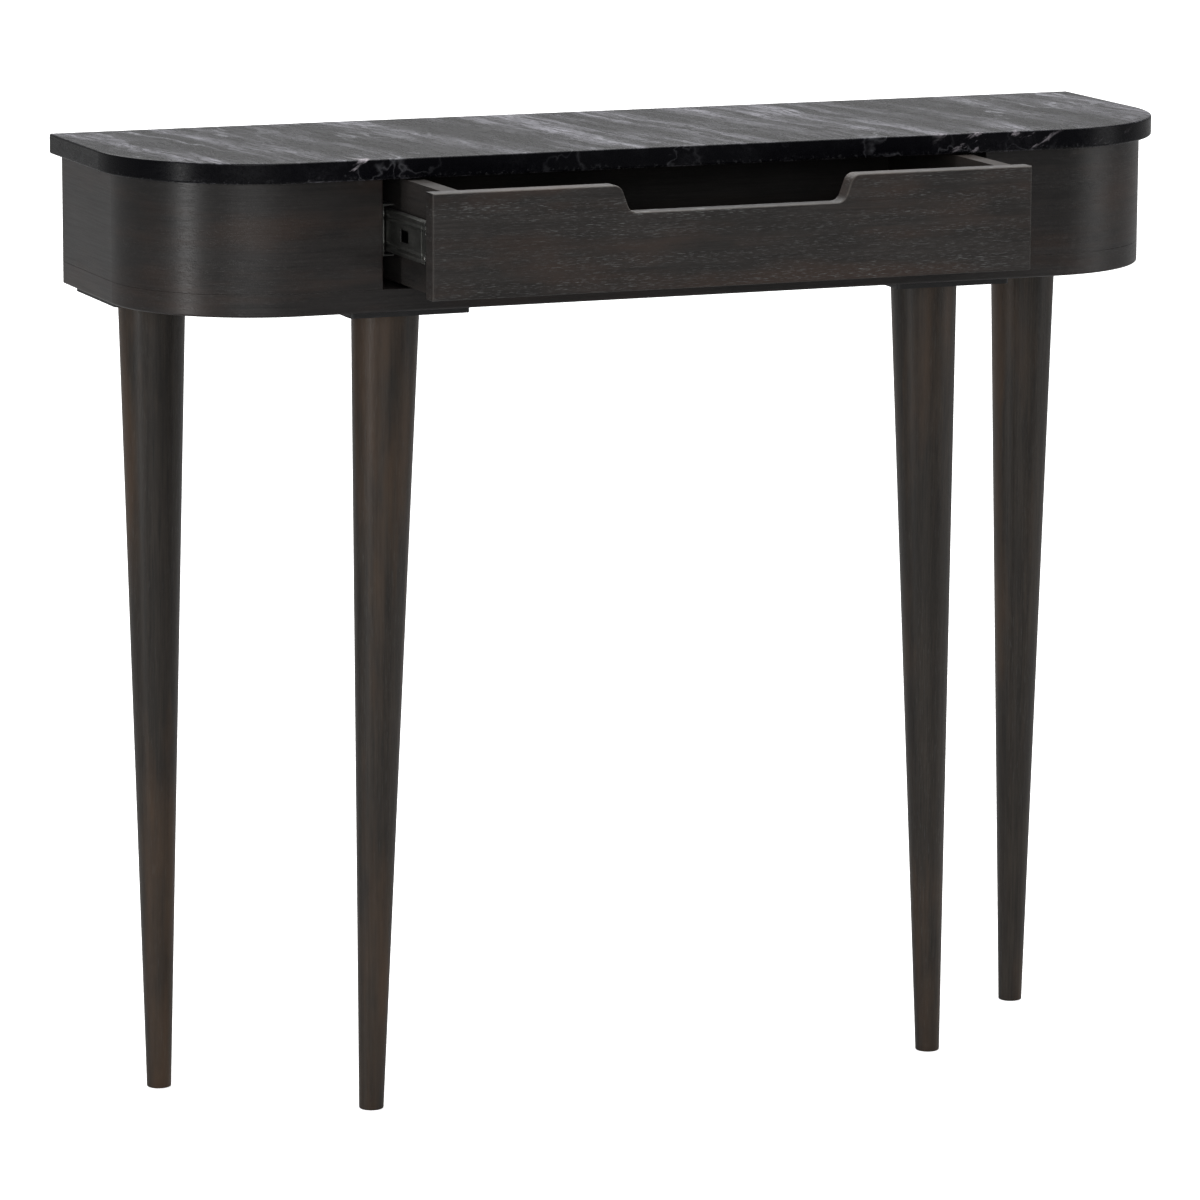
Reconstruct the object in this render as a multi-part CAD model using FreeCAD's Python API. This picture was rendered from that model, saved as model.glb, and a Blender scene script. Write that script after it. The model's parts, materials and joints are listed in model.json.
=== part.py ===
import FreeCAD, Part
import math
import os

# A console table: a marble slab on a shallow wooden case with round front corners,
# one drawer on telescopic slides, and four tapered legs under steel plates.
# Millimetres. X runs along the table, -Y is the front, +Z is up, the floor is z = 0.
# The drawer stands part open. Plan measures start at the middle of the slab, and the
# finished solids move so that the origin is at the middle of the footprint.

# Slab
top_length = 1000.0
top_depth = 280.0
top_thickness = 18.0
top_corner_radius = 140.0
top_arris = 1.8
table_height = 860.0
pad_thickness = 1.0
pad_diameter = 12.0

# Case
overhang = 11.0  # slab beyond the case at the front and at both ends; flush behind
case_height = 115.0
bottom_thickness = 20.0
shell_thickness = 18.0
back_thickness = 15.0
divider_thickness = 15.0
case_arris = 1.8
joint_arris = 0.6  # fine line where the shells stand on the bottom panel
front_straight = 74.0  # front of each end shell, from the corner curve to the opening

# Drawer
front_thickness = 16.0
front_side_gap = 5.5
front_top_gap = 1.5
front_bottom_gap = 3.0
front_arris = 1.6
side_thickness = 16.0
rear_thickness = 12.0
rear_drop = 6.0  # top edge of the drawer back below the sides
rear_clearance = 6.0  # closed drawer to back panel
drawer_floor_thickness = 6.0
drawer_floor_height = 8.0  # lower edge of the sides to the floor board
groove_depth = 6.0
groove_clearance = 0.2
notch_width = 200.0  # flat bottom of the finger notch
notch_depth = 24.0
notch_flare = 9.0
notch_radius = 9.0

# Slides, one pair; each is three nested channels with balls between them
slide_thickness = 12.7
slide_height = 45.0
slide_sheet = 1.2
slide_setback = 1.5  # front end of the channels behind the drawer front
slide_end_margin = 7.0  # drawer side beyond the slide at the back
slide_stop_margin = 8.0  # travel the middle channels have left
race_height = 3.5  # space that a row of balls runs in
ball_diameter = 3.0
balls_per_row = 6
ball_hole_clearance = 0.05
cage_sheet = 0.5
web_gap = 1.3  # cabinet channel web to middle channel web
inner_web_gap = 0.8  # middle channel web to the tips of the drawer channel
flange_setback = 2.5  # flange tips clear of the drawer side
bumper_length = 5.0
bumper_gap = 1.0
end_stop_length = 18.0
end_stop_sheet = 1.6
slot_length = 20.0
slot_height = 11.0
slot_from_front = 59.0
lever_length = 36.0
lever_height = 5.0
lever_thickness = 2.0
lever_standoff = 3.2
lever_pin_diameter = 3.0
pin_clearance = 0.05

# Legs
leg_top_diameter = 60.0
leg_foot_diameter = 22.0
foot_arris = 1.2
front_leg_in_opening = 27.0  # leg axis inside the end of the drawer opening
front_leg_inset = 69.0  # leg axis behind the face of the case
front_leg_splay = 15.0  # foot further out than the top
back_leg_inset = 62.0  # leg axis in from the end of the case
back_leg_setback = 61.0  # leg axis in front of the back of the case
plate_thickness = 5.0
plate_width = 110.0
plate_depth = 112.0
front_plate_setback = 6.0  # plate behind the face of the case
back_plate_setback = 15.0  # plate in front of the back of the case
plate_corner_radius = 3.0

# Fixings
screw_diameter = 4.0
screw_head_diameter = 8.0
screw_head_height = 2.2
hole_clearance = 0.05
plate_screw_inset = 13.0
plate_screw_length = 20.0
case_screw_length = 45.0
divider_screw_gap = 16.0  # divider screws from the leg plate and from the back panel
slide_screw_diameter = 3.5
slide_screw_head_diameter = 6.5
slide_screw_head_height = 1.4
slide_screw_length = 13.0
slide_screw_inset = 32.0
dowel_diameter = 8.0
dowel_length = 30.0
dowel_in_front = 8.0
bolt_diameter = 8.0
bolt_in_leg = 45.0
stud_clearance = 0.2  # around a stud where it passes through its plate
insert_diameter = 13.0
insert_length = 15.0

# What follows from them
case_top = table_height - top_thickness - pad_thickness
case_bottom = case_top - case_height
shell_bottom = case_bottom + bottom_thickness
plate_bottom = case_bottom - plate_thickness
slab_bottom = table_height - top_thickness
back_y = top_depth / 2
case_half = top_length / 2 - overhang
case_front = -top_depth / 2 + overhang
case_radius = top_corner_radius - overhang
back_inner = back_y - back_thickness
shell_back_face = case_front + shell_thickness
opening_half = top_length / 2 - top_corner_radius - front_straight

slide_sides = {"left": -1, "right": 1}
front_half = opening_half - front_side_gap
box_half = front_half - slide_thickness - 0.3
drawer_top = slab_bottom - front_top_gap
drawer_bottom = shell_bottom + front_bottom_gap
drawer_length = back_inner - rear_clearance - case_front - front_thickness
slide_length = drawer_length - slide_end_margin
member_length = slide_length - bumper_length - bumper_gap
drawer_open = slide_length / 2 - slide_stop_margin
front_face = case_front - drawer_open
front_back = front_face + front_thickness
drawer_back_y = front_back + drawer_length
floor_z = drawer_bottom + drawer_floor_height
slide_z = (drawer_top + drawer_bottom) / 2
cabinet_front = case_front + front_thickness + slide_setback
member_front = cabinet_front - drawer_open
member_back = member_front + member_length

cabinet_web = slide_thickness - slide_sheet
middle_web_out = cabinet_web - web_gap
middle_web_in = middle_web_out - slide_sheet
inner_tip = middle_web_in - inner_web_gap
cabinet_half = slide_height / 2
middle_half = cabinet_half - slide_sheet - race_height
inner_half = middle_half - slide_sheet - race_height
cage_length = slide_length / 2 - 20
outer_cage_centre = (cabinet_front + member_back) / 2
inner_cage_centre = member_front + slide_length / 2 + 10
outer_race = cabinet_half - slide_sheet - race_height / 2
inner_race = middle_half - slide_sheet - race_height / 2
outer_ball_out = (flange_setback + middle_web_in) / 2
inner_ball_out = (flange_setback + inner_tip) / 2
outer_cage_web = middle_web_out + (web_gap - cage_sheet) / 2
inner_cage_web = inner_tip + (inner_web_gap - cage_sheet) / 2

front_leg_y = case_front + front_leg_inset
front_plate_y = case_front + front_plate_setback + plate_depth / 2
back_plate_y = back_y - back_plate_setback - plate_depth / 2
back_leg_y = back_y - back_leg_setback
back_leg_x = case_half - back_leg_inset

origin_y = (back_y + front_face) / 2


def vec(x, y, z):
    return FreeCAD.Vector(x, y, z)


def block(x0, x1, y0, y1, z0, z1):
    """A box between pairs of limits, given in either order."""
    low = vec(min(x0, x1), min(y0, y1), min(z0, z1))
    return Part.makeBox(abs(x1 - x0), abs(y1 - y0), abs(z1 - z0), low)


def rod(diameter, start, end):
    """A round bar from one point to another."""
    run = end.sub(start)
    return Part.makeCylinder(diameter / 2, run.Length, start, run)


def rounded_wire(points, radii):
    """A closed wire through the points, each corner turned by an arc of its radius."""
    edges = []
    count = len(points)
    starts = []
    ends = []
    for i in range(count):
        here = points[i]
        before = points[i - 1].sub(here).normalize()
        after = points[(i + 1) % count].sub(here).normalize()
        half_angle = before.getAngle(after) / 2
        if radii[i] == 0:
            starts.append(here)
            ends.append(here)
            continue
        reach = radii[i] / math.tan(half_angle)
        into = here.add(before.multiply(reach))
        out = here.add(after.multiply(reach))
        middle_way = into.add(out).multiply(0.5).sub(here)
        depth = radii[i] / math.sin(half_angle) - radii[i]
        crown = here.add(middle_way.normalize().multiply(depth))
        starts.append(into)
        ends.append(out)
        edges.append(Part.Arc(into, crown, out).toShape())
    for i in range(count):
        a = ends[i]
        b = starts[(i + 1) % count]
        if a.distanceToPoint(b) > 1e-6:
            edges.append(Part.LineSegment(a, b).toShape())
    return Part.Wire(Part.__sortEdges__(edges))


def prism(points, radii, direction):
    """A solid swept along a direction from a flat outline with rounded corners."""
    return Part.Face(rounded_wire(points, radii)).extrude(direction)


def round_front(half, front, back, radius, z0, z1):
    """A board with square back corners and round front corners."""
    corners = [(-half, back), (-half, front), (half, front), (half, back)]
    points = [vec(x, y, z0) for x, y in corners]
    return prism(points, [0, radius, radius, 0], vec(0, 0, z1 - z0))


def edges_where(solid, test):
    """Edges of a solid whose bounding box passes a test."""
    return [edge for edge in solid.Edges if test(edge.BoundBox)]


def side_x(side, out):
    """X of a place outward of the drawer side by a distance, on the left (-1) or right (1)."""
    return side * (box_half + out)


def side_block(side, out0, out1, y0, y1, z0, z1):
    """A box placed by its distance outward of the drawer side."""
    return block(side_x(side, out0), side_x(side, out1), y0, y1, z0, z1)


def channel(side, web0, web1, tip, half_height, sheet, y0, y1):
    """A folded channel: a web between web0 and web1, and two flanges that run to tip."""
    outer = side_block(side, tip, web1, y0, y1, slide_z - half_height, slide_z + half_height)
    inside = half_height - sheet
    hollow = side_block(side, tip - 1, web0, y0 - 1, y1 + 1, slide_z - inside, slide_z + inside)
    return outer.cut(hollow)


def screw(head, direction, length, diameter, head_diameter, head_height):
    """A countersunk screw whose flat head is at a point and which runs in a direction."""
    run = vec(direction.x, direction.y, direction.z).normalize()
    tip_length = diameter
    neck = head.add(vec(run.x, run.y, run.z).multiply(head_height))
    shank_length = length - head_height - tip_length
    tip = neck.add(vec(run.x, run.y, run.z).multiply(shank_length))
    parts = Part.makeCone(head_diameter / 2, diameter / 2, head_height, head, run)
    parts = parts.fuse(Part.makeCylinder(diameter / 2, shank_length, neck, run))
    parts = parts.fuse(Part.makeCone(diameter / 2, diameter / 8, tip_length, tip, run))
    return parts.removeSplitter()


def screw_hole(head, direction, length, diameter, head_diameter, head_height):
    """The hole that such a screw is in."""
    wide = 2 * hole_clearance
    return screw(head, direction, length + wide, diameter + wide, head_diameter + wide, head_height)


# ---------------------------------------------------------------- slab and case

def marble_top():
    half = top_length / 2
    slab = round_front(half, -back_y, back_y, top_corner_radius, slab_bottom, table_height)
    return slab.makeFillet(top_arris, edges_where(slab, lambda b: b.ZLength < 0.01))


def shell_line():
    """Places along the middle of one end shell: front, corner and end, for pads and screws."""
    middle = shell_thickness / 2
    corner_centre_x = case_half - case_radius
    corner_centre_y = case_front + case_radius
    reach = (case_radius - middle) * math.sqrt(0.5)
    front_place = (corner_centre_x - front_straight / 2, case_front + middle)
    corner_place = (corner_centre_x + reach, corner_centre_y - reach)
    end_place = (case_half - middle, (corner_centre_y + back_y) / 2)
    return [front_place, corner_place, end_place]


def divider_x(side):
    """X of the middle of a divider."""
    return side_x(side, slide_thickness + divider_thickness / 2)


def divider_ends():
    """Y of the two fixing places along a divider, both behind the front leg plates."""
    plate_end = front_plate_y + plate_depth / 2
    return [plate_end + divider_screw_gap, back_inner - divider_screw_gap]


def back_places():
    """X of the fixing places along the back panel."""
    return [-case_half * 0.6, 0, case_half * 0.6]


def case_places():
    """Plan places on the edges of the standing boards: shells, dividers and back."""
    places = [(side * x, y) for side in (-1, 1) for x, y in shell_line()]
    places += [(divider_x(side), y) for side in (-1, 1) for y in divider_ends()]
    places += [(x, back_y - back_thickness / 2) for x in back_places()]
    return places


def silicone_pads():
    pads = []
    for x, y in case_places():
        pads.append(rod(pad_diameter, vec(x, y, case_top), vec(x, y, case_top + pad_thickness)))
    return Part.makeCompound(pads)


def case_screw_values(x, y):
    head = vec(x, y, case_bottom)
    size = (case_screw_length, screw_diameter, screw_head_diameter, screw_head_height)
    return head, vec(0, 0, 1), *size


def bottom_screws():
    return Part.makeCompound([screw(*case_screw_values(x, y)) for x, y in case_places()])


def bottom_screw_holes():
    return [screw_hole(*case_screw_values(x, y)) for x, y in case_places()]


def end_shell(side):
    """One bent end: straight front, round corner and straight end, up to the back."""
    outer = round_front(case_half, case_front, back_y, case_radius, shell_bottom, case_top)
    half = case_half - shell_thickness
    radius = case_radius - shell_thickness
    inner = round_front(half, shell_back_face, back_y + 1, radius, shell_bottom, case_top)
    edge_x = side * opening_half
    keep = block(edge_x, side * (case_half + 1), case_front - 1, back_y + 1, 0, table_height)
    shell = outer.cut(inner).common(keep)
    upright = edges_where(shell, lambda b: b.XLength < 0.01 and b.YLength < 0.01)
    mouth = [e for e in upright if abs(e.BoundBox.XMin - edge_x) < 0.1]
    front_mouth = [e for e in mouth if e.BoundBox.YMin < case_front + 0.1]
    shell = shell.makeFillet(case_arris, front_mouth)
    return shell.cut(bottom_screw_holes())


def back_panel():
    reach = case_half - shell_thickness
    panel = block(-reach, reach, back_inner, back_y, shell_bottom, case_top)
    return panel.cut(bottom_screw_holes())


def divider(side):
    """The board beside the drawer that its slide is screwed to."""
    inner = slide_thickness
    outer = inner + divider_thickness
    board = side_block(side, inner, outer, shell_back_face, back_inner, shell_bottom, case_top)
    holes = [screw_hole(*v) for v in cabinet_screw_values(side)]
    return board.cut(bottom_screw_holes() + holes)


def bottom_panel():
    panel = round_front(case_half, case_front, back_y, case_radius, case_bottom, shell_bottom)
    lower = edges_where(panel, lambda b: b.ZMax < case_bottom + 0.01 and b.YMin < back_y - 0.01)
    panel = panel.makeFillet(case_arris, lower)
    upper = edges_where(panel, lambda b: b.ZMin > shell_bottom - 0.01 and b.YMin < back_y - 0.01)
    panel = panel.makeFillet(joint_arris, upper)
    return panel.cut(bottom_screw_holes() + insert_holes() + plate_screw_holes())


# ---------------------------------------------------------------- drawer

def drawer_front():
    """The front board with a flared finger notch in its top edge."""
    left = -front_half
    right = front_half
    flat = notch_width / 2
    wide = flat + notch_flare
    sill = drawer_top - notch_depth
    outline = [
        (left, drawer_bottom, 0), (right, drawer_bottom, 0), (right, drawer_top, 0),
        (wide, drawer_top, notch_radius), (flat, sill, notch_radius),
        (-flat, sill, notch_radius), (-wide, drawer_top, notch_radius),
        (left, drawer_top, 0),
    ]
    points = [vec(x, front_face, z) for x, z, radius in outline]
    board = prism(points, [radius for x, z, radius in outline], vec(0, front_thickness, 0))
    rim = edges_where(board, lambda b: b.YMax < front_face + 0.01)
    board = board.makeFillet(front_arris, rim)
    holes = [hole for side in (-1, 1) for hole in dowel_bars(side, hole_clearance)]
    return board.cut([floor_groove()] + holes)


def floor_groove():
    """The groove that the drawer floor sits in, cut into the front, sides and back."""
    reach = box_half - side_thickness + groove_depth
    low = floor_z - groove_clearance
    high = floor_z + drawer_floor_thickness + groove_clearance
    x0 = -reach
    x1 = reach
    return block(x0, x1, front_back - groove_depth, drawer_back_y + 1, low, high)


def drawer_floor():
    reach = box_half - side_thickness + groove_depth - groove_clearance
    x0 = -reach
    x1 = reach
    y0 = front_back - groove_depth + groove_clearance
    return block(x0, x1, y0, drawer_back_y, floor_z, floor_z + drawer_floor_thickness)


def dowel_bars(side, clearance):
    """Two dowels that join the drawer front to a side, or their holes with a clearance."""
    x = side_x(side, -side_thickness / 2)
    y0 = front_back - dowel_in_front - clearance
    y1 = y0 + dowel_length + 2 * clearance
    heights = (drawer_bottom + 30, drawer_top - notch_depth - 8)
    return [rod(dowel_diameter + 2 * clearance, vec(x, y0, z), vec(x, y1, z)) for z in heights]


def drawer_dowels():
    return Part.makeCompound([bar for side in (-1, 1) for bar in dowel_bars(side, 0)])


def rear_screw_values(side):
    """Screws from the sides into the back board, clear of the drawer channel's end."""
    y = drawer_back_y - rear_thickness / 2
    board_low = floor_z + drawer_floor_thickness
    board_high = drawer_top - rear_drop
    heights = ((board_low + slide_z - inner_half) / 2, (board_high + slide_z + inner_half) / 2)
    run = vec(-side, 0, 0)
    size = (case_screw_length, screw_diameter, screw_head_diameter, screw_head_height)
    return [(vec(side_x(side, 0), y, z), run, *size) for z in heights]


def drawer_rear_screws():
    return Part.makeCompound([screw(*v) for side in (-1, 1) for v in rear_screw_values(side)])


def drawer_side(side):
    board = side_block(side, -side_thickness, 0, front_back, drawer_back_y, drawer_bottom, drawer_top)
    holes = dowel_bars(side, hole_clearance)
    holes += [screw_hole(*v) for v in rear_screw_values(side) + drawer_screw_values(side)]
    return board.cut([floor_groove()] + holes)


def drawer_back():
    """The back board, standing on the drawer floor between the sides."""
    x0 = side_x(-1, -side_thickness)
    x1 = side_x(1, -side_thickness)
    y0 = drawer_back_y - rear_thickness
    low = floor_z + drawer_floor_thickness
    board = block(x0, x1, y0, drawer_back_y, low, drawer_top - rear_drop)
    return board.cut([screw_hole(*v) for side in (-1, 1) for v in rear_screw_values(side)])


# ---------------------------------------------------------------- slides

def screw_stations(start, length):
    """Y of the three screws along a channel."""
    return [start + slide_screw_inset, start + length / 2, start + length - slide_screw_inset]


def slide_screw_values(side, out, run, y):
    head = vec(side_x(side, out), y, slide_z)
    size = (slide_screw_diameter, slide_screw_head_diameter, slide_screw_head_height)
    return head, vec(side * run, 0, 0), slide_screw_length, *size


def cabinet_screw_values(side):
    """Screws from the cabinet channel into the divider, heads flush with the web."""
    stations = screw_stations(cabinet_front, slide_length)
    return [slide_screw_values(side, cabinet_web, 1, y) for y in stations]


def drawer_screw_values(side):
    """Screws from the drawer channel into the drawer side, heads flush with the web."""
    stations = screw_stations(member_front, member_length)
    return [slide_screw_values(side, slide_sheet, -1, y) for y in stations]


def slide_screws(values):
    return Part.makeCompound([screw(*v) for side in (-1, 1) for v in values(side)])


def cabinet_channel(side):
    shape = channel(side, cabinet_web, slide_thickness, flange_setback, cabinet_half, slide_sheet,
                    cabinet_front, cabinet_front + slide_length)
    return shape.cut([screw_hole(*v) for v in cabinet_screw_values(side)])


def middle_channel(side):
    """The middle channel, with a slot near its front; a plastic stop closes its front end."""
    shape = channel(side, middle_web_in, middle_web_out, flange_setback, middle_half, slide_sheet,
                    member_front + end_stop_length, member_back)
    slot_y = member_front + slot_from_front
    slot = side_block(side, 0, slide_thickness, slot_y - slot_length / 2, slot_y + slot_length / 2,
                      slide_z - slot_height / 2, slide_z + slot_height / 2)
    return shape.cut(slot)


def middle_end_stop(side):
    thicker = (end_stop_sheet - slide_sheet) / 2
    return channel(side, middle_web_in - thicker, middle_web_out + thicker, flange_setback,
                   middle_half + thicker, end_stop_sheet, member_front, member_front + end_stop_length)


def drawer_channel(side):
    """The drawer channel: its web is on the drawer side and its flanges point outward."""
    half = inner_half
    outer = side_block(side, 0, inner_tip, member_front, member_back, slide_z - half, slide_z + half)
    inside = half - slide_sheet
    hollow = side_block(side, slide_sheet, inner_tip + 1, member_front - 1, member_back + 1,
                        slide_z - inside, slide_z + inside)
    holes = [screw_hole(*v) for v in drawer_screw_values(side)]
    return outer.cut([hollow, lever_pin_bar(side, 0)] + holes)


def cage(side, web0, half_height, centre, ball_out):
    """A thin channel that keeps two rows of balls spaced."""
    y0 = centre - cage_length / 2
    shape = channel(side, web0, web0 + cage_sheet, flange_setback + 0.5, half_height, cage_sheet,
                    y0, y0 + cage_length)
    bore = ball_diameter + 2 * ball_hole_clearance
    x = side_x(side, ball_out)
    low = slide_z - slide_height
    high = slide_z + slide_height
    return shape.cut([rod(bore, vec(x, y, low), vec(x, y, high)) for y in ball_stations(centre)])


def outer_cage(side):
    half = outer_race + cage_sheet / 2
    return cage(side, outer_cage_web, half, outer_cage_centre, outer_ball_out)


def inner_cage(side):
    half = inner_race + cage_sheet / 2
    return cage(side, inner_cage_web, half, inner_cage_centre, inner_ball_out)


def ball_stations(centre):
    step = cage_length / balls_per_row
    return [centre - cage_length / 2 + step * (i + 0.5) for i in range(balls_per_row)]


def ball_rows(side, height, centre, ball_out):
    x = side_x(side, ball_out)
    balls = [Part.makeSphere(ball_diameter / 2, vec(x, y, slide_z + way * height))
             for y in ball_stations(centre) for way in (-1, 1)]
    return Part.makeCompound(balls)


def cabinet_bumper(side):
    """A plastic block in the back end of the cabinet channel that the middle channel meets."""
    y1 = cabinet_front + slide_length
    y0 = y1 - bumper_length
    low = slide_z - middle_half
    high = slide_z + middle_half
    return side_block(side, flange_setback, cabinet_web, y0, y1, low, high)


def lever_y():
    """Y of the lever's rivet, midway between the second and the third screw."""
    stations = screw_stations(member_front, member_length)
    return (stations[1] + stations[2]) / 2


def lever_pin_bar(side, clearance):
    """The rivet that a release lever turns on, or its hole with a clearance."""
    start = vec(side_x(side, 0), lever_y(), slide_z)
    end = vec(side_x(side, lever_standoff + lever_thickness + 0.6), lever_y(), slide_z)
    return rod(lever_pin_diameter + 2 * clearance, start, end)


def lever_pins():
    return Part.makeCompound([lever_pin_bar(side, 0) for side in (-1, 1)])


def release_lever(side):
    """A flat plastic lever with rounded ends, turning on a rivet in the drawer channel."""
    half = lever_length / 2
    rise = lever_height / 2
    x = side_x(side, lever_standoff)
    corners = [(-half, -rise), (half, -rise), (half, rise), (-half, rise)]
    points = [vec(x, lever_y() + a, slide_z + b) for a, b in corners]
    plate = prism(points, [rise * 0.9] * 4, vec(side * lever_thickness, 0, 0))
    return plate.cut(lever_pin_bar(side, pin_clearance))


# ---------------------------------------------------------------- legs

def leg_stations():
    """Each leg's name, place of its axis at the top, middle of its plate and splay."""
    front_x = opening_half - front_leg_in_opening
    return {
        "front_left": (-front_x, front_leg_y, front_plate_y, -front_leg_splay),
        "front_right": (front_x, front_leg_y, front_plate_y, front_leg_splay),
        "back_left": (-back_leg_x, back_leg_y, back_plate_y, 0),
        "back_right": (back_leg_x, back_leg_y, back_plate_y, 0),
    }


def leg(x, y, splay):
    """A straight taper, cut level at the floor and at the plate."""
    spare = 0.05
    lean = splay / plate_bottom
    taper = (leg_top_diameter - leg_foot_diameter) / 2 / plate_bottom
    rise = plate_bottom * (1 + 2 * spare)
    foot = vec(x + splay + lean * plate_bottom * spare, y, -plate_bottom * spare)
    run = vec(-lean * rise, 0, rise)
    low_radius = leg_foot_diameter / 2 - taper * plate_bottom * spare
    high_radius = leg_top_diameter / 2 + taper * plate_bottom * spare
    cone = Part.makeCone(low_radius, high_radius, run.Length, foot, run)
    width = leg_top_diameter + abs(splay)
    solid = cone.common(block(x - width, x + width, y - width, y + width, 0, plate_bottom))
    solid = solid.makeFillet(foot_arris, edges_where(solid, lambda b: b.ZMax < 0.01))
    return solid.cut(bolt_bar(x, y, hole_clearance))


def bolt_bar(x, y, clearance):
    """A stud from inside the leg to the top of the insert, or its hole with a clearance."""
    start = vec(x, y, plate_bottom - bolt_in_leg - clearance)
    end = vec(x, y, case_bottom + insert_length - 1)
    return rod(bolt_diameter + 2 * clearance, start, end)


def hanger_bolts():
    return Part.makeCompound([bolt_bar(x, y, 0) for x, y, plate_y, splay in leg_stations().values()])


def insert_bar(x, y, diameter):
    return rod(diameter, vec(x, y, case_bottom), vec(x, y, case_bottom + insert_length))


def insert_holes():
    wide = insert_diameter + 2 * hole_clearance
    return [insert_bar(x, y, wide) for x, y, plate_y, splay in leg_stations().values()]


def threaded_inserts():
    sleeves = []
    bore = bolt_diameter + 2 * hole_clearance
    for x, y, plate_y, splay in leg_stations().values():
        sleeve = insert_bar(x, y, insert_diameter)
        sleeves.append(sleeve.cut(insert_bar(x, y, bore)))
    return Part.makeCompound(sleeves)


def plate_screw_values(x, plate_y):
    reach_x = plate_width / 2 - plate_screw_inset
    reach_y = plate_depth / 2 - plate_screw_inset
    size = (plate_screw_length, screw_diameter, screw_head_diameter, screw_head_height)
    return [(vec(x + a * reach_x, plate_y + b * reach_y, plate_bottom), vec(0, 0, 1), *size)
            for a in (-1, 1) for b in (-1, 1)]


def all_plate_screws():
    values = []
    for x, y, plate_y, splay in leg_stations().values():
        values += plate_screw_values(x, plate_y)
    return values


def plate_screws():
    return Part.makeCompound([screw(*v) for v in all_plate_screws()])


def plate_screw_holes():
    return [screw_hole(*v) for v in all_plate_screws()]


def leg_plate(x, y, plate_y):
    """A steel plate above a leg, which stands a little behind the middle of the plate."""
    w = plate_width / 2
    d = plate_depth / 2
    corners = [(-w, -d), (w, -d), (w, d), (-w, d)]
    points = [vec(x + a, plate_y + b, plate_bottom) for a, b in corners]
    plate = prism(points, [plate_corner_radius] * 4, vec(0, 0, plate_thickness))
    holes = [screw_hole(*v) for v in plate_screw_values(x, plate_y)]
    return plate.cut(holes + [bolt_bar(x, y, stud_clearance)])


# ---------------------------------------------------------------- all the pieces

def pieces():
    found = {
        "marble_top": marble_top(),
        "silicone_pads": silicone_pads(),
        "back_panel": back_panel(),
        "bottom_panel": bottom_panel(),
        "bottom_screws": bottom_screws(),
        "drawer_front": drawer_front(),
        "drawer_back": drawer_back(),
        "drawer_floor": drawer_floor(),
        "drawer_dowels": drawer_dowels(),
        "drawer_rear_screws": drawer_rear_screws(),
        "cabinet_channel_screws": slide_screws(cabinet_screw_values),
        "drawer_channel_screws": slide_screws(drawer_screw_values),
        "lever_pins": lever_pins(),
        "hanger_bolts": hanger_bolts(),
        "threaded_inserts": threaded_inserts(),
        "plate_screws": plate_screws(),
    }
    for name, side in slide_sides.items():
        found[f"{name}_end_shell"] = end_shell(side)
        found[f"{name}_divider"] = divider(side)
        found[f"drawer_{name}_side"] = drawer_side(side)
        found[f"{name}_cabinet_channel"] = cabinet_channel(side)
        found[f"{name}_middle_channel"] = middle_channel(side)
        found[f"{name}_middle_end_stop"] = middle_end_stop(side)
        found[f"{name}_drawer_channel"] = drawer_channel(side)
        found[f"{name}_cabinet_bumper"] = cabinet_bumper(side)
        found[f"{name}_release_lever"] = release_lever(side)
        found[f"{name}_outer_cage"] = outer_cage(side)
        found[f"{name}_inner_cage"] = inner_cage(side)
        found[f"{name}_outer_balls"] = ball_rows(side, outer_race, outer_cage_centre, outer_ball_out)
        found[f"{name}_inner_balls"] = ball_rows(side, inner_race, inner_cage_centre, inner_ball_out)
    for name, (x, y, plate_y, splay) in leg_stations().items():
        found[f"{name}_leg"] = leg(x, y, splay)
        found[f"{name}_leg_plate"] = leg_plate(x, y, plate_y)
    return found


os.makedirs("parts", exist_ok=True)
for name, shape in pieces().items():
    shape.translate(vec(0, -origin_y, 0))
    shape.exportStep(f"parts/{name}.step")
    solids = shape.Solids
    print(name, len(solids), round(sum(solid.Volume for solid in solids)), shape.isValid())
print("origin_y", origin_y, "open", drawer_open, "slide", slide_length, "front face", front_face)
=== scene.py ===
import json
import math

import bmesh
import bpy
from mathutils import Matrix, Vector

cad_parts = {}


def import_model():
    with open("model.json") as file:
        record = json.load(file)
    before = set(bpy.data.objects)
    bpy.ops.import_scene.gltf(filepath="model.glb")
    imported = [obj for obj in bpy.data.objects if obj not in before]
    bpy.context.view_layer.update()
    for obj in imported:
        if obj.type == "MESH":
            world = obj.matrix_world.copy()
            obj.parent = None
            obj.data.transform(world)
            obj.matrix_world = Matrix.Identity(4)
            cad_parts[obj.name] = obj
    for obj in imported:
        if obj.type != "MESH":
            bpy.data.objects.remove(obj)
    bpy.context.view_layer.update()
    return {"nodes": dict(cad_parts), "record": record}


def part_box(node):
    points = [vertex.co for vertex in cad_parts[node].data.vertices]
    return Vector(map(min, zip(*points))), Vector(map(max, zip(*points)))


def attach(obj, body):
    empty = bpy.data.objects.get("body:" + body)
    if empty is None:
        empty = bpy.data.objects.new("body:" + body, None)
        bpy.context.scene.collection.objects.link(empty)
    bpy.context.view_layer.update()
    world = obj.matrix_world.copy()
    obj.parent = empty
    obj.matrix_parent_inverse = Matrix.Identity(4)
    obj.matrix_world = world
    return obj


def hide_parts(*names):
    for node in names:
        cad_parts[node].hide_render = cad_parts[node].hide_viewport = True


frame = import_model()

# A console table: marble slab, stained wooden case with an open drawer, tapered legs.
# Metres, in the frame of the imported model: +X right, -Y front, +Z up.

# ------------------------------------------------------------------ node helpers


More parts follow.
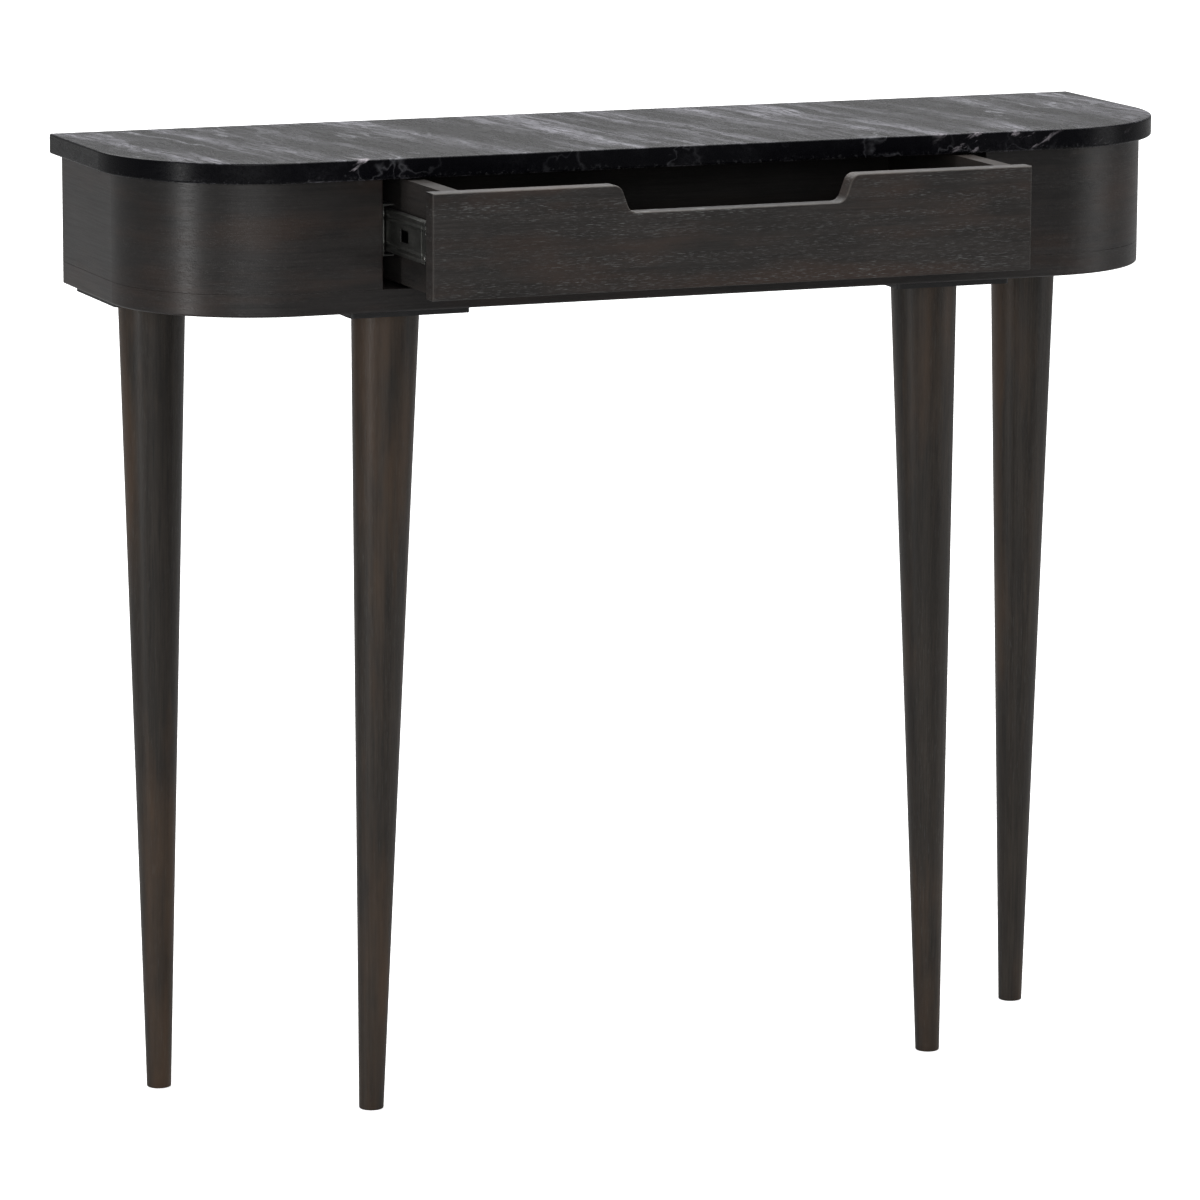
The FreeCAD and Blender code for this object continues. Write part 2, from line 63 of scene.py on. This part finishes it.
def new_material(name):
    """A node material: the material, its tree and its shader."""
    mat = bpy.data.materials.new(name)
    mat.use_nodes = True
    tree = mat.node_tree
    tree.nodes.clear()
    out = tree.nodes.new("ShaderNodeOutputMaterial")
    shader = tree.nodes.new("ShaderNodeBsdfPrincipled")
    tree.links.new(shader.outputs[0], out.inputs[0])
    return mat, tree, shader


def coords(tree, scale, rotation=(0, 0, 0), location=(0, 0, 0)):
    """Object coordinates, turned then stretched."""
    source = tree.nodes.new("ShaderNodeTexCoord")
    turn = tree.nodes.new("ShaderNodeMapping")
    turn.inputs["Rotation"].default_value = rotation
    turn.inputs["Location"].default_value = location
    stretch = tree.nodes.new("ShaderNodeMapping")
    stretch.inputs["Scale"].default_value = scale
    tree.links.new(source.outputs["Object"], turn.inputs[0])
    tree.links.new(turn.outputs[0], stretch.inputs[0])
    return stretch.outputs[0]


def noise(tree, vector, scale=1.0, detail=4.0, rough=0.55):
    """Grey noise, about 0.5 in the mean."""
    node = tree.nodes.new("ShaderNodeTexNoise")
    node.inputs["Scale"].default_value = scale
    node.inputs["Detail"].default_value = detail
    node.inputs["Roughness"].default_value = rough
    tree.links.new(vector, node.inputs["Vector"])
    return node.outputs[0]


def warp(tree, vector, amount, scale, detail=3.0):
    """A vector pushed about by coloured noise."""
    node = tree.nodes.new("ShaderNodeTexNoise")
    node.inputs["Scale"].default_value = scale
    node.inputs["Detail"].default_value = detail
    tree.links.new(vector, node.inputs["Vector"])
    centre = tree.nodes.new("ShaderNodeVectorMath")
    centre.operation = "SUBTRACT"
    centre.inputs[1].default_value = (0.5, 0.5, 0.5)
    tree.links.new(node.outputs["Color"], centre.inputs[0])
    push = tree.nodes.new("ShaderNodeVectorMath")
    push.operation = "SCALE"
    push.inputs["Scale"].default_value = amount
    tree.links.new(centre.outputs[0], push.inputs[0])
    total = tree.nodes.new("ShaderNodeVectorMath")
    total.operation = "ADD"
    tree.links.new(vector, total.inputs[0])
    tree.links.new(push.outputs[0], total.inputs[1])
    return total.outputs[0]


def ramp(tree, value, stops, interpolation="LINEAR"):
    """A value moved along a curve of grey levels; a stop is (place, level)."""
    node = tree.nodes.new("ShaderNodeValToRGB")
    node.color_ramp.interpolation = interpolation
    elements = node.color_ramp.elements
    while len(elements) < len(stops):
        elements.new(0.5)
    for element, (place, level) in zip(elements, stops):
        element.position = place
        element.color = (level, level, level, 1)
    tree.links.new(value, node.inputs[0])
    return node.outputs[0]


def mix(tree, factor, a, b, mode="MIX"):
    """Colour mix; a and b are colours or sockets, factor a number or a socket."""
    node = tree.nodes.new("ShaderNodeMix")
    node.data_type = "RGBA"
    node.blend_type = mode
    for place, item in ((0, factor), (6, a), (7, b)):
        if hasattr(item, "is_output"):
            tree.links.new(item, node.inputs[place])
        elif place == 0:
            node.inputs[0].default_value = item
        else:
            node.inputs[place].default_value = (*item, 1)
    return node.outputs[2]


def maths(tree, operation, a, b=None):
    """A Math node; a and b are numbers or sockets."""
    node = tree.nodes.new("ShaderNodeMath")
    node.operation = operation
    for place, item in ((0, a), (1, b)):
        if item is None:
            continue
        if hasattr(item, "is_output"):
            tree.links.new(item, node.inputs[place])
        else:
            node.inputs[place].default_value = item
    return node.outputs[0]


def spread(tree, value, low, high, to_low, to_high):
    """A value's range moved to another range, clamped."""
    node = tree.nodes.new("ShaderNodeMapRange")
    node.inputs["From Min"].default_value = low
    node.inputs["From Max"].default_value = high
    node.inputs["To Min"].default_value = to_low
    node.inputs["To Max"].default_value = to_high
    tree.links.new(value, node.inputs[0])
    return node.outputs[0]


def part_of(tree, vector, axis):
    """One component of a vector: 0 for X, 1 for Y, 2 for Z."""
    node = tree.nodes.new("ShaderNodeSeparateXYZ")
    tree.links.new(vector, node.inputs[0])
    return node.outputs[axis]


def normals(tree):
    """The surface's own normal, in the frame."""
    node = tree.nodes.new("ShaderNodeNewGeometry")
    return node.outputs["Normal"]


def bump(tree, shader, height, strength, distance, before=None):
    """Gives the shader small relief, on top of an earlier relief if there is one."""
    node = tree.nodes.new("ShaderNodeBump")
    node.inputs["Strength"].default_value = strength
    node.inputs["Distance"].default_value = distance
    tree.links.new(height, node.inputs["Height"])
    if before is not None:
        tree.links.new(before, node.inputs["Normal"])
    tree.links.new(node.outputs[0], shader.inputs["Normal"])
    return node.outputs[0]


def feed(tree, shader, **sockets):
    """Sets or links the shader's sockets, named with _ for a space."""
    for name, item in sockets.items():
        socket = shader.inputs[name.replace("_", " ")]
        if hasattr(item, "is_output"):
            tree.links.new(item, socket)
        else:
            socket.default_value = item


# ------------------------------------------------------------------ materials

slab_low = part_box("marble_top")[0]


def marble():
    """Black marble: grey bands of fine streaks that run front to back, and a few white flaws."""
    band_turn = math.radians(-8)
    edge_sheen_level = 0.03  # how much of the bands, and so of the painted sheen, the slab's edge shows
    edge_vein_sheen_level = 0.3
    flaw_reach = 0.035  # metres behind the front edge
    glint_reach = 0.005  # metres above the lower arris
    black = (0.0012, 0.0012, 0.0022)
    # The band grey is the streaks' colour together with the top's painted sheen.
    band_and_sheen_grey = (0.27, 0.265, 0.30)
    vein_grey = (0.26, 0.26, 0.285)
    flaw_white = (0.36, 0.33, 0.36)
    glint_grey = (0.16, 0.16, 0.17)
    mat, tree, shader = new_material("marble")
    # Turned so that X is across the bands and Y along them.
    turned = coords(tree, (1, 1, 1), rotation=(0, 0, band_turn))
    pushed = warp(tree, turned, 0.035, 9.0, 5.0)

    def stretched(scale):
        node = tree.nodes.new("ShaderNodeMapping")
        node.inputs["Scale"].default_value = scale
        tree.links.new(pushed, node.inputs[0])
        return node.outputs[0]

    bands = noise(tree, stretched((13.0, 1.5, 13.0)), 1.0, 3.0, 0.55)
    stripes = noise(tree, stretched((55.0, 3.6, 55.0)), 1.0, 4.0, 0.6)
    streaks = noise(tree, stretched((330.0, 17.0, 330.0)), 1.0, 6.0, 0.75)
    soft = ramp(tree, bands, [(0.38, 0.05), (0.50, 0.4), (0.60, 1.0)], "EASE")
    middle = ramp(tree, stripes, [(0.40, 0.06), (0.52, 0.5), (0.62, 1.0)])
    sharp = ramp(tree, streaks, [(0.40, 0.12), (0.52, 0.55), (0.64, 1.0)])
    cloud = maths(tree, "MULTIPLY", maths(tree, "MULTIPLY", soft, middle), sharp)
    # Painted sheen: the bands show at full strength only on the flat faces, so the top reads lighter, while
    # the sawn, polished edge keeps a trace of them and stays nearly black.
    flat_face_sheen = maths(tree, "ABSOLUTE", part_of(tree, normals(tree), 2))
    level = spread(tree, flat_face_sheen, 0.3, 0.95, edge_sheen_level, 1.0)
    cloud = maths(tree, "MULTIPLY", cloud, level)
    base = mix(tree, cloud, black, band_and_sheen_grey)
    # Fine pale lines that wander along the bands.
    wander = noise(tree, warp(tree, stretched((16.0, 3.0, 16.0)), 0.5, 2.0, 5.0), 1.0, 3.0, 0.6)
    line = maths(tree, "ABSOLUTE", maths(tree, "SUBTRACT", wander, 0.5))
    vein = ramp(tree, line, [(0.0, 1.0), (0.006, 0.4), (0.016, 0.0)])
    region = noise(tree, coords(tree, (5.0, 5.0, 5.0), location=(0.31, 0.1, 0)), 1.0, 2.0)
    where = ramp(tree, region, [(0.44, 0.0), (0.60, 0.7)])
    # The veins fade on the edge with the same painted sheen.
    where = maths(tree, "MULTIPLY", where, spread(tree, level, 0.0, 1.0, edge_vein_sheen_level, 1.0))
    veined = mix(tree, maths(tree, "MULTIPLY", vein, where), base, vein_grey)
    # White flaws break through in a few places, most of all near the front edge.
    slanted = coords(tree, (26.0, 26.0, 95.0), rotation=(0, math.radians(28), 0))
    patch = noise(tree, warp(tree, slanted, 0.5, 1.6, 5.0), 1.0, 7.0, 0.66)
    patch = ramp(tree, patch, [(0.585, 0.0), (0.64, 0.5), (0.72, 1.0)])
    region = noise(tree, coords(tree, (6.5, 2.5, 2.0), location=(0.2, 0, 0)), 1.0, 1.0)
    flawed = ramp(tree, region, [(0.52, 0.0), (0.64, 1.0)])
    depth = part_of(tree, coords(tree, (1, 1, 1)), 1)
    nearness = spread(tree, depth, slab_low.y, slab_low.y + flaw_reach, 1.0, 0.0)
    flaws = maths(tree, "MULTIPLY", maths(tree, "MULTIPLY", patch, flawed), nearness)
    colour = mix(tree, flaws, veined, flaw_white)
    # Painted glints: light specks along the lower arris, where the rounded, polished edge would catch the
    # light.
    glint_noise = noise(tree, coords(tree, (300.0, 300.0, 300.0)), 1.0, 3.0, 0.6)
    speck = ramp(tree, glint_noise, [(0.56, 0.0), (0.68, 1.0)])
    height = part_of(tree, coords(tree, (1, 1, 1)), 2)
    low = spread(tree, height, slab_low.z, slab_low.z + glint_reach, 1.0, 0.0)
    painted_glints = maths(tree, "MULTIPLY", maths(tree, "MULTIPLY", speck, low), 0.3)
    colour = mix(tree, painted_glints, colour, glint_grey)
    rough = spread(tree, streaks, 0.35, 0.7, 0.22, 0.36)
    feed(tree, shader, Base_Color=colour, Roughness=rough)
    shader.inputs["IOR"].default_value = 1.5
    shader.inputs["Specular IOR Level"].default_value = 0.12
    grain = noise(tree, coords(tree, (1, 1, 1)), 900.0, 3.0)
    bump(tree, shader, grain, 0.04, 0.0004)
    return mat


pore_grey = (0.15, 0.155, 0.155)
worn_edge_and_highlight_brown = (0.15, 0.13, 0.11)


def stained_wood(name, dark, light, warm, along, gloss, pores=0.0, warmth=0.5, edge_wear_and_highlight=0.0, seed=0.0,
                 shine=0.5):
    """Stained wood. along is the grain's axis: 0 for X (and round the bent ends), 2 for Z.
    gloss is the mean roughness, shine the specular level, and seed moves the pattern."""
    mat, tree, shader = new_material(name)
    place = (seed, seed * 0.7, seed * 1.3)
    if along == 2:
        fine_scale, mid_scale, wide_scale = (620.0, 620.0, 12.0), (140.0, 140.0, 4.0), (26.0, 26.0, 2.4)
        pore_scale, blotch_scale = (1000.0, 1000.0, 70.0), (12.0, 12.0, 5.0)
    else:
        fine_scale, mid_scale, wide_scale = (16.0, 16.0, 700.0), (5.0, 5.0, 170.0), (4.0, 4.0, 30.0)
        pore_scale, blotch_scale = (135.0, 135.0, 2100.0), (9.0, 9.0, 14.0)
    fibre = noise(tree, warp(tree, coords(tree, fine_scale, location=place), 0.6, 0.8), 1.0, 5.0, 0.65)
    band = noise(tree, warp(tree, coords(tree, mid_scale, location=place), 1.1, 0.8, 4.0), 1.0, 4.0, 0.6)
    cloud = noise(tree, coords(tree, wide_scale, location=place), 1.0, 4.0, 0.6)
    blotch = noise(tree, coords(tree, blotch_scale, location=place), 1.0, 4.0, 0.6)
    tone = maths(tree, "ADD", maths(tree, "MULTIPLY", fibre, 0.6), maths(tree, "MULTIPLY", band, 0.4))
    colour = mix(tree, ramp(tree, tone, [(0.36, 0.0), (0.64, 1.0)]), dark, light)
    shade = spread(tree, blotch, 0.35, 0.65, 0.74, 1.22)
    colour = mix(tree, 1.0, colour, shade, "MULTIPLY")
    patches = maths(tree, "MULTIPLY", cloud, maths(tree, "ADD", blotch, 0.5))
    colour = mix(tree, ramp(tree, patches, [(0.46, 0.0), (0.66, warmth)]), colour, warm)
    height = tone
    if pores:
        dash = noise(tree, warp(tree, coords(tree, pore_scale, location=place), 0.45, 0.35), 1.0, 3.0, 0.6)
        wide_pore_scale = tuple(s * 0.05 for s in pore_scale)
        crowd = noise(tree, coords(tree, wide_pore_scale, location=place), 1.0, 3.0)
        thick = ramp(tree, crowd, [(0.38, 0.12), (0.64, 1.0)])
        fleck = maths(tree, "MULTIPLY", ramp(tree, dash, [(0.57, 0.0), (0.67, 1.0)]), thick)
        colour = mix(tree, maths(tree, "MULTIPLY", fleck, pores), colour, pore_grey)
        height = maths(tree, "SUBTRACT", tone, maths(tree, "MULTIPLY", fleck, 1.2))
    if edge_wear_and_highlight:
        # Worn arrises, the faces that turn from the front towards the edges: real wear, made lighter on the
        # upward-facing ones as a painted highlight from overhead light.
        facing = maths(tree, "ABSOLUTE", part_of(tree, normals(tree), 1))
        turn = ramp(tree, facing, [(0.12, 0.0), (0.3, 1.0), (0.85, 1.0), (0.97, 0.0)])
        # Painted highlight: the wear is stronger on arrises that face up, towards the overhead light.
        upward_highlight = spread(tree, part_of(tree, normals(tree), 2), -0.3, 0.6, 0.25, 1.0)
        rubbed = noise(tree, coords(tree, (60.0, 60.0, 60.0)), 1.0, 4.0, 0.7)
        broken = ramp(tree, rubbed, [(0.35, 0.15), (0.62, 1.0)])
        worn = maths(tree, "MULTIPLY", maths(tree, "MULTIPLY", turn, broken), upward_highlight)
        colour = mix(tree, maths(tree, "MULTIPLY", worn, edge_wear_and_highlight), colour, worn_edge_and_highlight_brown)
    rough = maths(tree, "ADD", maths(tree, "MULTIPLY", fibre, 0.26), gloss - 0.13)
    feed(tree, shader, Base_Color=colour, Roughness=rough)
    shader.inputs["Specular IOR Level"].default_value = shine
    bump(tree, shader, height, 0.2, 0.0005)
    return mat


brushed_along = (6.0, 6.0, 900.0)
brushed_fine = (400.0, 400.0, 400.0)
bead_reach = 0.0026  # metres either side of a pressed line
bead_relief = 0.0014


def metal(name, colour, rough, brushed=brushed_along, metallic=1.0, wear=(0.5, 0.49, 0.46), worn=0.25,
          beads=None):
    """Metal with a brushed grain. beads is (height, offset): pressed lines that far above and below it."""
    mat, tree, shader = new_material(name)
    brush = noise(tree, coords(tree, brushed), 1.0, 5.0, 0.6)
    stain = noise(tree, coords(tree, (60.0, 60.0, 60.0)), 1.0, 4.0, 0.6)
    lighter = tuple(min(1.0, c * 1.45) for c in colour)
    base = mix(tree, ramp(tree, stain, [(0.35, 0.0), (0.7, 1.0)]), colour, lighter)
    rub = ramp(tree, maths(tree, "MULTIPLY", brush, stain), [(0.3, 0.0), (0.42, worn)])
    feed(tree, shader, Base_Color=mix(tree, rub, base, wear), Metallic=metallic)
    feed(tree, shader, Roughness=spread(tree, brush, 0.3, 0.7, rough - 0.07, rough + 0.09))
    fine = bump(tree, shader, brush, 0.06, 0.0002)
    if beads:
        middle, offset = beads
        height = part_of(tree, coords(tree, (1, 1, 1)), 2)
        away = maths(tree, "ABSOLUTE", maths(tree, "SUBTRACT", height, middle))
        near = maths(tree, "ABSOLUTE", maths(tree, "SUBTRACT", away, offset))
        bead = spread(tree, near, 0.0, bead_reach, 1.0, 0.0)
        bump(tree, shader, bead, 1.0, bead_relief, fine)
    return mat


def plastic(name, colour, rough):
    """Moulded plastic or silicone with a fine sparked surface."""
    mat, tree, shader = new_material(name)
    speck = noise(tree, coords(tree, (1, 1, 1)), 1400.0, 3.0)
    haze = noise(tree, coords(tree, (1, 1, 1)), 60.0, 3.0)
    lighter = tuple(min(1.0, c * 1.5 + 0.01) for c in colour)
    base = mix(tree, ramp(tree, haze, [(0.35, 0.0), (0.7, 1.0)]), colour, lighter)
    feed(tree, shader, Base_Color=base)
    feed(tree, shader, Roughness=spread(tree, speck, 0.3, 0.7, rough - 0.06, rough + 0.1))
    bump(tree, shader, speck, 0.15, 0.0002)
    return mat


# Each wood's dark, light and warm colour.
case_tones = ((0.0105, 0.0092, 0.0088), (0.021, 0.0182, 0.0172), (0.034, 0.0205, 0.015))
drawer_tones = ((0.012, 0.0102, 0.0093), (0.029, 0.0252, 0.0232), (0.036, 0.0225, 0.017))
# The drawer box's wood is made lighter than the case's: painted light inside the drawer.
painted_light_box_tones = ((0.016, 0.0148, 0.0142), (0.031, 0.0285, 0.0272), (0.036, 0.027, 0.0225))
leg_tones = ((0.0115, 0.0088, 0.0068), (0.037, 0.0285, 0.0215), (0.066, 0.038, 0.0205))
plain_tones = ((0.42, 0.29, 0.17), (0.62, 0.46, 0.3), (0.5, 0.36, 0.22))

slide_low, slide_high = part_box("left_middle_channel")
slide_z = (slide_low.z + slide_high.z) / 2
bead_offset = 0.0118

materials = {
    "marble": marble(),
    "case_wood": stained_wood("case_wood", *case_tones, 0, 0.34, pores=0.1, warmth=0.6, shine=0.42),
    "drawer_wood": stained_wood("drawer_wood", *drawer_tones, 0, 0.52, 0.72, 0.75, edge_wear_and_highlight=0.25,
                                seed=0.37, shine=0.36),
    "drawer_box_wood": stained_wood("drawer_box_wood", *painted_light_box_tones, 0, 0.68, 0.12, seed=0.81, shine=0.2),
    "plain_wood": stained_wood("plain_wood", *plain_tones, 0, 0.55, seed=1.2),
    "leg_wood": stained_wood("leg_wood", *leg_tones, 2, 0.4, 0.12, 0.8, seed=0.2, shine=0.42),
    "plate_steel": metal("plate_steel", (0.006, 0.006, 0.0065), 0.45, metallic=0.0,
                         wear=(0.03, 0.03, 0.03), worn=0.4),
    "slide_steel": metal("slide_steel", (0.19, 0.195, 0.185), 0.36, beads=(slide_z, bead_offset)),
    "ball_steel": metal("ball_steel", (0.6, 0.6, 0.62), 0.12, (300.0, 300.0, 300.0)),
    "black_plastic": plastic("black_plastic", (0.006, 0.006, 0.006), 0.42),
    "screw_steel": metal("screw_steel", (0.36, 0.35, 0.33), 0.3, brushed_fine),
    "insert_brass": metal("insert_brass", (0.55, 0.38, 0.14), 0.3, brushed_fine),
    "silicone": plastic("silicone", (0.55, 0.56, 0.56), 0.3),
}

for piece in frame["record"]["subparts"]:
    data = frame["nodes"][piece["node"]].data
    data.materials.clear()
    data.materials.append(materials[piece["material_slot"]])

# ------------------------------------------------------------------ ends of the middle channels


def add_piece(name, form, body, slot, smooth=False):
    """A finished mesh that rides with a body and takes a slot's material."""
    bmesh.ops.recalc_face_normals(form, faces=form.faces)
    mesh = bpy.data.meshes.new(name)
    form.to_mesh(mesh)
    form.free()
    for face in mesh.polygons:
        face.use_smooth = smooth
    mesh.materials.append(materials[slot])
    obj = bpy.data.objects.new(name, mesh)
    bpy.context.scene.collection.objects.link(obj)
    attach(obj, body)
    return obj


def solid_from(form, corners, run, bevel):
    """Adds a prism with softened edges: corners in space, pushed along run."""
    made = [form.verts.new(c) for c in corners]
    face = form.faces.new(made)
    grown = bmesh.ops.extrude_face_region(form, geom=[face])
    moved = [v for v in grown["geom"] if isinstance(v, bmesh.types.BMVert)]
    bmesh.ops.translate(form, verts=moved, vec=run)
    edges = list(dict.fromkeys(e for v in made + moved for e in v.link_edges))
    bmesh.ops.bevel(form, geom=edges, offset=bevel, segments=2, affect="EDGES", profile=0.5)


def tube(form, path, radius, around=10):
    """Adds a round bead along a path in a plane of constant X, closed at both ends."""
    side_on = Vector((1, 0, 0))
    rings = []
    for i, point in enumerate(path):
        ahead = (path[min(i + 1, len(path) - 1)] - path[max(i - 1, 0)]).normalized()
        across = side_on.cross(ahead)
        turns = [math.tau * k / around for k in range(around)]
        rings.append([form.verts.new(point + radius * (math.cos(t) * across + math.sin(t) * side_on))
                      for t in turns])
    for one, two in zip(rings, rings[1:]):
        for k in range(around):
            form.faces.new((one[k], one[(k + 1) % around], two[(k + 1) % around], two[k]))
    form.faces.new(rings[0])
    form.faces.new(rings[-1])


def dome(form, centre, way, radius, height, rows=6, around=20):
    """Adds a rivet head that stands on a plane of constant X and rises towards way."""
    rings = []
    for i in range(rows):
        t = i / rows * math.pi / 2
        rise, wide = way * height * math.sin(t), radius * math.cos(t)
        turns = [math.tau * k / around for k in range(around)]
        rings.append([form.verts.new(centre + Vector((rise, wide * math.cos(a), wide * math.sin(a))))
                      for a in turns])
    tip = form.verts.new(centre + Vector((way * height, 0, 0)))
    for one, two in zip(rings, rings[1:]):
        for k in range(around):
            form.faces.new((one[k], one[(k + 1) % around], two[(k + 1) % around], two[k]))
    for k in range(around):
        form.faces.new((rings[-1][k], rings[-1][(k + 1) % around], tip))
    form.faces.new(rings[0])


# The channel's end, in metres.
sheet = 0.0012
lip = 0.0006  # radius of the rolled lip, and height of the rivet's head
shoulder_back = 0.0085  # the tongue stands this far in front of the flanges
tongue_half = 0.0078
flange_depth = 0.003
flange_bend = 0.0008
rivet_radius = 0.0016
rivet_back = 0.0028  # behind the shoulder
rivet_up = 0.0052  # above the lower edge
liner_gap = 0.0003
liner_thickness = 0.0015
liner_end_gap = 0.001
liner_outer_gap = 0.0002
liner_inner_gap = 0.0004
tongue_bevel = 0.00012
flange_bevel = 0.0001
liner_bevel = 0.0002
arc_steps = 14


def channel_end(side, way):
    """The front end of a middle channel: bent flanges, a rounded tongue with a rolled lip,
    a rivet and a liner. way is the outward direction along X."""
    low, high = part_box(f"{side}_middle_end_stop")
    outer = low.x if way < 0 else high.x
    inner = high.x if way < 0 else low.x
    middle = (low.z + high.z) / 2
    half = (high.z - low.z) / 2
    front, back = low.y, high.y
    shoulder = front + shoulder_back
    face_x = outer - way * lip
    arc = []
    for i in range(arc_steps + 1):
        t = math.pi / 2 - math.pi * i / arc_steps
        reach = (shoulder - front - lip) * math.cos(t)
        arc.append((shoulder - reach, middle + tongue_half * math.sin(t)))
    outline = [(back, middle + half), (shoulder, middle + half)] + arc
    outline += [(shoulder, middle - half), (back, middle - half)]
    form = bmesh.new()
    corners = [Vector((face_x, y, z)) for y, z in outline]
    solid_from(form, corners, Vector((-way * sheet, 0, 0)), tongue_bevel)
    for up in (1, -1):
        edge = middle + up * half
        profile = [(outer, edge - up * flange_depth), (outer, edge - up * flange_bend),
                   (outer - way * flange_bend, edge), (inner, edge), (inner, edge - up * sheet),
                   (outer - way * sheet, edge - up * sheet), (outer - way * sheet, edge - up * flange_depth)]
        corners = [Vector((x, shoulder, z)) for x, z in profile]
        solid_from(form, corners, Vector((0, back - shoulder, 0)), flange_bevel)
    shell = add_piece(f"{side}_channel_end", form, "slide_middle", "slide_steel")
    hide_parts(f"{side}_middle_end_stop")

    form = bmesh.new()
    tube(form, [Vector((face_x, y, z)) for y, z in arc], lip * 0.98)
    add_piece(f"{side}_tongue_lip", form, "slide_middle", "slide_steel", smooth=True)

    form = bmesh.new()
    rivet_centre = Vector((face_x, shoulder + rivet_back, middle - half + rivet_up))
    dome(form, rivet_centre, way, rivet_radius, lip)
    add_piece(f"{side}_tongue_rivet", form, "slide_middle", "screw_steel", smooth=True)

    form = bmesh.new()
    for up in (1, -1):
        edge = middle + up * (half - sheet - liner_gap)
        thin = edge - up * liner_thickness
        start = outer - way * (sheet + lip + liner_outer_gap)
        stop = inner + way * liner_inner_gap
        profile = [(start, edge), (stop, edge), (stop, thin), (start, thin)]
        corners = [Vector((x, shoulder + liner_end_gap, z)) for x, z in profile]
        solid_from(form, corners, Vector((0, back - shoulder - 2 * liner_end_gap, 0)), liner_bevel)
    add_piece(f"{side}_channel_liner", form, "slide_middle", "black_plastic")


channel_end("left", -1)
channel_end("right", 1)

# ------------------------------------------------------------------ floor, lights, camera


def floor():
    """A plain pale floor, wide enough to reach the horizon in every view."""
    mesh = bpy.data.meshes.new("stage_floor")
    form = bmesh.new()
    bmesh.ops.create_grid(form, x_segments=8, y_segments=8, size=60.0)
    form.to_mesh(mesh)
    form.free()
    obj = bpy.data.objects.new("stage_floor", mesh)
    bpy.context.scene.collection.objects.link(obj)
    mat, tree, shader = new_material("floor_paper")
    speck = noise(tree, coords(tree, (1, 1, 1)), 3.0, 3.0)
    # Overexposed to the eye, as in a cut-out, while it throws back less light than that.
    seen_low, seen_high, bounced = (0.95,) * 3, (0.97,) * 3, (0.36,) * 3
    pale = mix(tree, ramp(tree, speck, [(0.3, 0.0), (0.7, 1.0)]), seen_low, seen_high)
    ray = tree.nodes.new("ShaderNodeLightPath")
    paper = mix(tree, ray.outputs["Is Camera Ray"], bounced, pale)
    feed(tree, shader, Base_Color=paper, Roughness=0.95)
    # A little light of its own, so that the far floor is as pale as the near floor.
    shader.inputs["Emission Color"].default_value = (1, 1, 1, 1)
    feed(tree, shader, Emission_Strength=maths(tree, "MULTIPLY", ray.outputs["Is Camera Ray"], 0.5))
    shader.inputs["Specular IOR Level"].default_value = 0.0
    mesh.materials.append(mat)


def area_light(name, place, aim, size, power):
    """A white rectangle that shines from place towards aim; power in watts."""
    data = bpy.data.lights.new(name, "AREA")
    data.shape = "RECTANGLE"
    data.size, data.size_y = size
    data.energy = power
    obj = bpy.data.objects.new(name, data)
    obj.location = place
    obj.rotation_euler = (Vector(aim) - Vector(place)).to_track_quat("-Z", "Y").to_euler()
    bpy.context.scene.collection.objects.link(obj)


def world():
    """A white sky to the camera. As a light it is dim all round and brighter behind and overhead."""
    sky = bpy.data.worlds.new("studio")
    sky.use_nodes = True
    tree = sky.node_tree
    ground = tree.nodes["Background"]
    source = tree.nodes.new("ShaderNodeTexCoord")
    height = part_of(tree, source.outputs["Generated"], 2)
    depth = part_of(tree, source.outputs["Generated"], 1)
    behind = spread(tree, depth, -0.2, 0.6, 0.11, 0.26)
    above = spread(tree, height, 0.3, 0.95, 0.0, 0.9)
    lit = maths(tree, "MAXIMUM", behind, above)
    ray = tree.nodes.new("ShaderNodeLightPath")
    seen = maths(tree, "MAXIMUM", lit, ray.outputs["Is Camera Ray"])
    tree.links.new(mix(tree, seen, (0, 0, 0), (1, 1, 1)), ground.inputs[0])
    ground.inputs[1].default_value = 1.0
    bpy.context.scene.world = sky


def camera():
    """The photograph's view: turned by yaw, tipped down by pitch, then rolled about its own axis."""
    yaw, pitch, roll = 0.390752, 0.190567, -0.004332  # radians
    place = Vector((-2.115688, -5.014676, 1.489469))
    focal_px, frame_px = 6175.9, 1200.0
    ahead = Vector((math.sin(yaw) * math.cos(pitch), math.cos(yaw) * math.cos(pitch), -math.sin(pitch)))
    level = Vector((math.cos(yaw), -math.sin(yaw), 0))
    down = ahead.cross(level)
    right = math.cos(roll) * level + math.sin(roll) * down
    below = -math.sin(roll) * level + math.cos(roll) * down
    data = bpy.data.cameras.new("camera")
    data.sensor_width = 36.0
    data.lens = focal_px / frame_px * data.sensor_width
    data.clip_end = 200.0
    obj = bpy.data.objects.new("camera", data)
    turn = Matrix((right, -below, -ahead)).transposed()
    obj.matrix_world = Matrix.Translation(place) @ turn.to_4x4()
    bpy.context.scene.collection.objects.link(obj)
    bpy.context.scene.camera = obj


floor()
world()
camera()
area_light("overhead", (0.2, -0.4, 3.5), (0.1, -0.3, 0), (4.0, 3.0), 120)
area_light("behind", (1.5, 8.0, 6.0), (1.5, 7.0, 0), (9.0, 6.0), 520)
area_light("left_strip", (-3.2, -1.0, 0.75), (-0.45, -0.1, 0.6), (0.32, 1.5), 16)
area_light("front_fill", (-2.6, -6.0, 1.9), (0, 0, 0.7), (2.6, 1.6), 85)
area_light("right_fill", (3.2, -1.6, 1.3), (0, 0, 0.6), (1.2, 1.8), 18)
bpy.context.scene.view_settings.view_transform = "Standard"
bpy.context.scene.view_settings.look = "None"
